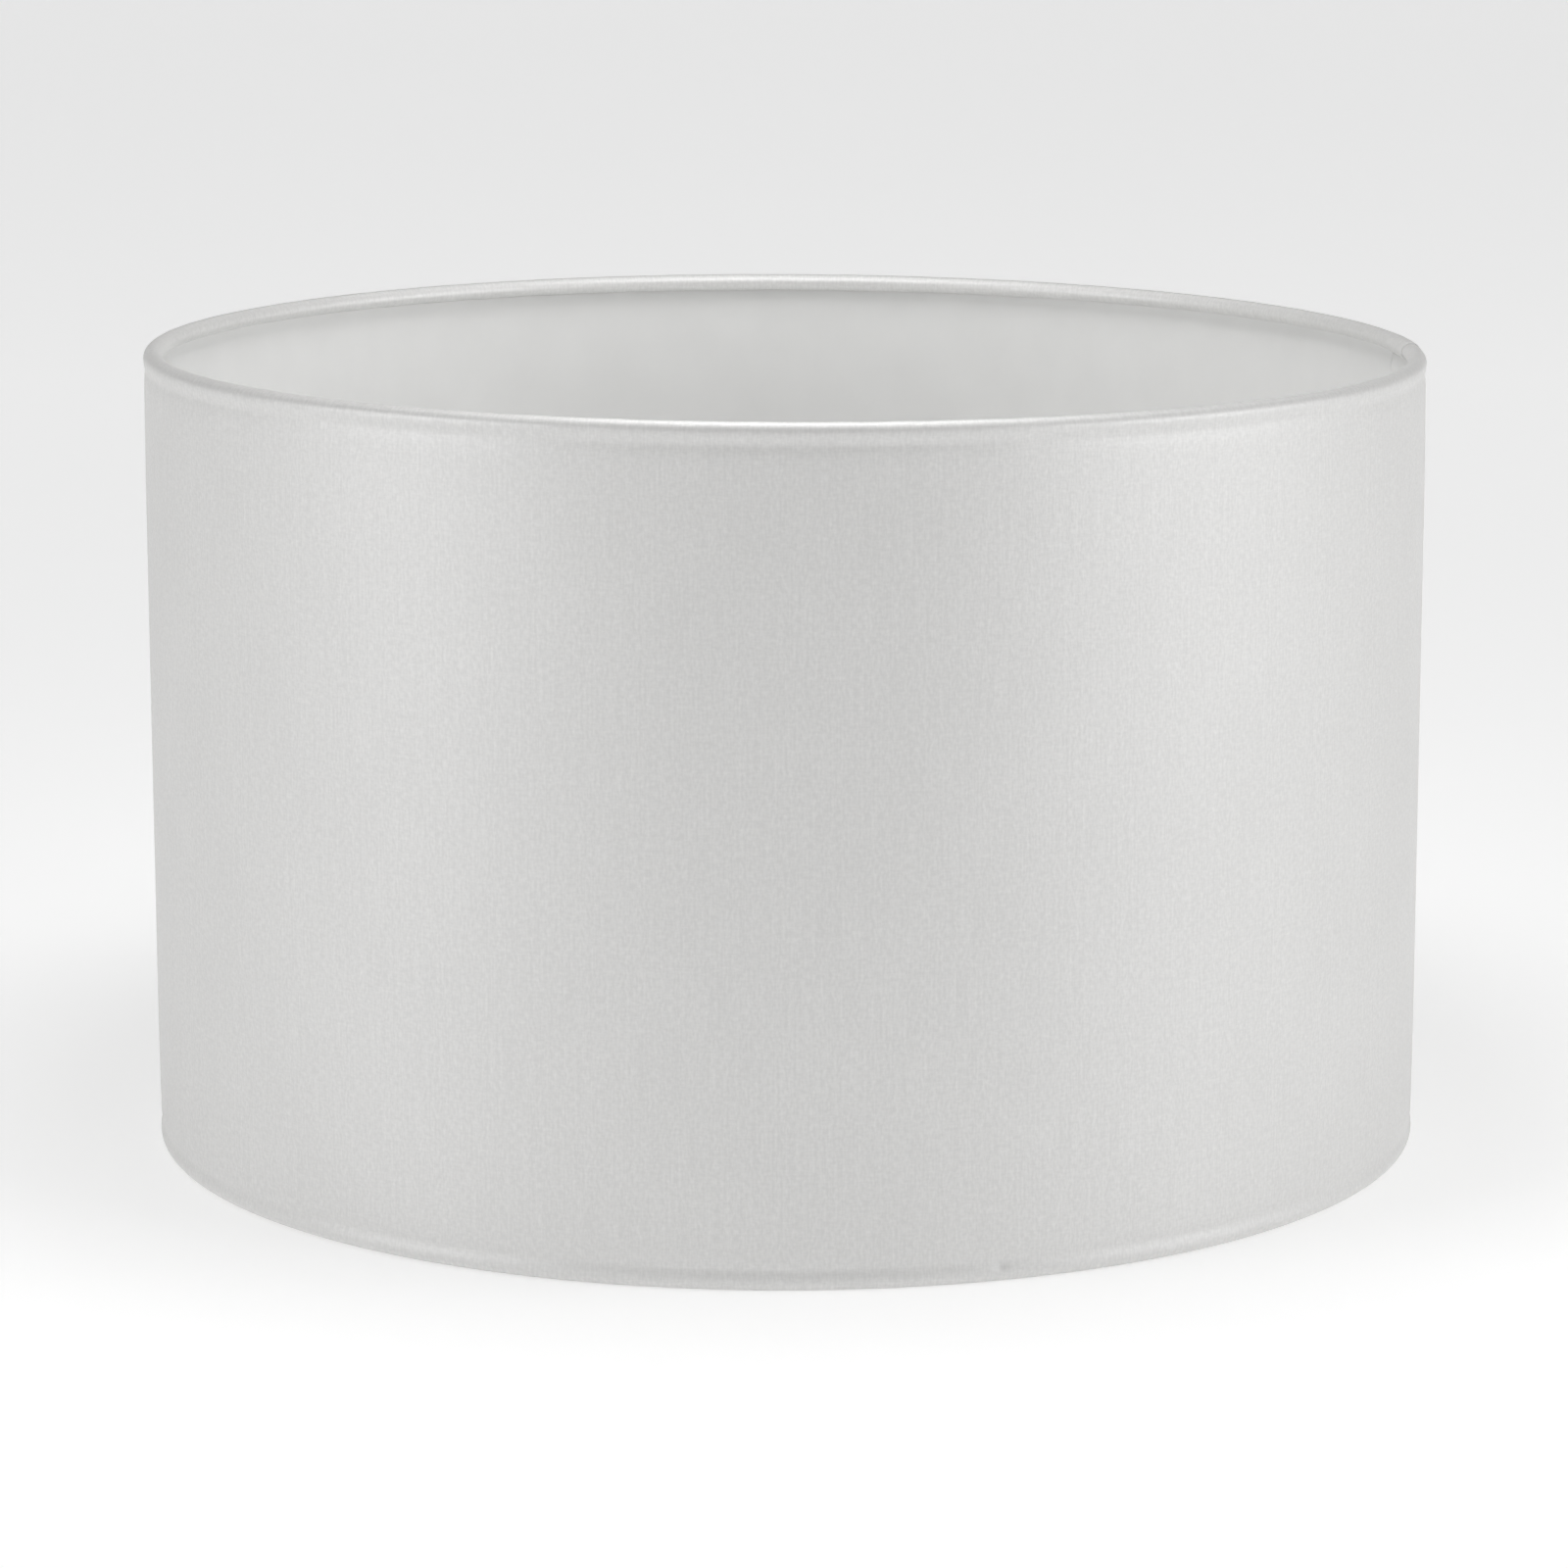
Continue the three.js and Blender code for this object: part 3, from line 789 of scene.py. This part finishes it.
def make_lamps():
    """Soft boxes round the shade, each turned towards its middle."""
    target = np.array([0, 0, HEIGHT / 2])
    for name, (azimuth, height, distance, width, tall, watts) in LAMPS.items():
        light = bpy.data.lights.new(name, "AREA")
        light.shape = "RECTANGLE"
        light.size, light.size_y = width, tall
        light.energy = watts
        lamp = bpy.data.objects.new(name, light)
        turn = math.radians(azimuth)
        place = np.array([distance * math.cos(turn), distance * math.sin(turn), height])
        lamp.location = place
        away = place - target
        across = math.atan2(away[1], away[0])
        up = math.atan2(away[2], math.hypot(away[0], away[1]))
        lamp.rotation_euler = (math.pi / 2 - up, 0, across + math.pi / 2)
        lamp.visible_camera = False
        bpy.context.scene.collection.objects.link(lamp)


def make_world():
    """A bright ceiling in a dark room."""
    world = bpy.data.worlds.new("studio")
    world.use_nodes = True
    tree = world.node_tree
    place = tree.nodes.new("ShaderNodeTexCoord")
    split = tree.nodes.new("ShaderNodeSeparateXYZ")
    ramp = tree.nodes.new("ShaderNodeMapRange")
    ramp.interpolation_type = "SMOOTHSTEP"
    ramp.inputs["From Min"].default_value, ramp.inputs["From Max"].default_value = CEILING_REACH
    ramp.inputs["To Max"].default_value = CEILING_LIGHT
    tree.links.new(place.outputs["Generated"], split.inputs[0])
    tree.links.new(split.outputs["Z"], ramp.inputs["Value"])
    tree.links.new(ramp.outputs[0], tree.nodes["Background"].inputs["Strength"])
    tree.nodes["Background"].inputs["Color"].default_value = (1, 1, 1, 1)
    bpy.context.scene.world = world
    bpy.context.scene.view_settings.view_transform = "Standard"


def make_camera():
    """The camera, where the photograph was taken from."""
    data = bpy.data.cameras.new("camera")
    data.sensor_width = 36
    data.lens = CAMERA_LENS
    camera = bpy.data.objects.new("camera", data)
    camera.location = CAMERA_PLACE
    camera.rotation_euler = (math.radians(90 - CAMERA_PITCH), math.radians(CAMERA_ROLL), 0)
    bpy.context.scene.collection.objects.link(camera)
    bpy.context.scene.camera = camera


def main():
    """Builds every piece on its CAD body, then the studio round them."""
    satin, lining, steel = satin_material(), lining_material(), steel_material()
    wire, plastic, tape = bare_wire_material(), plastic_material(), tape_material()
    make_cover(satin)
    make_lining(lining)
    for end, height in (("bottom", BOTTOM_RING_HEIGHT), ("top", HEIGHT - BOTTOM_RING_HEIGHT)):
        ring = f"{end}_ring"
        make_hoop(ring + "_wire", height, RING_WIRE_RADIUS, "coated_steel", wire, ring, WELD_BEAD)
        wrap_radius = RING_WIRE_RADIUS + WRAP_THICK
        make_hoop(ring + "_wrap", height, wrap_radius, "adhesive_tape", tape, ring + "_tape")
    for number, azimuth in enumerate(ARM_AZIMUTHS, start=1):
        make_arm(number, azimuth, steel)
    make_fitter(steel)
    make_reducer(plastic)
    seam_tape = frame["nodes"]["seam_tape"]
    for material_slot in seam_tape.material_slots:
        material_slot.material = tape
    make_floor()
    make_lamps()
    make_world()
    make_camera()


main()
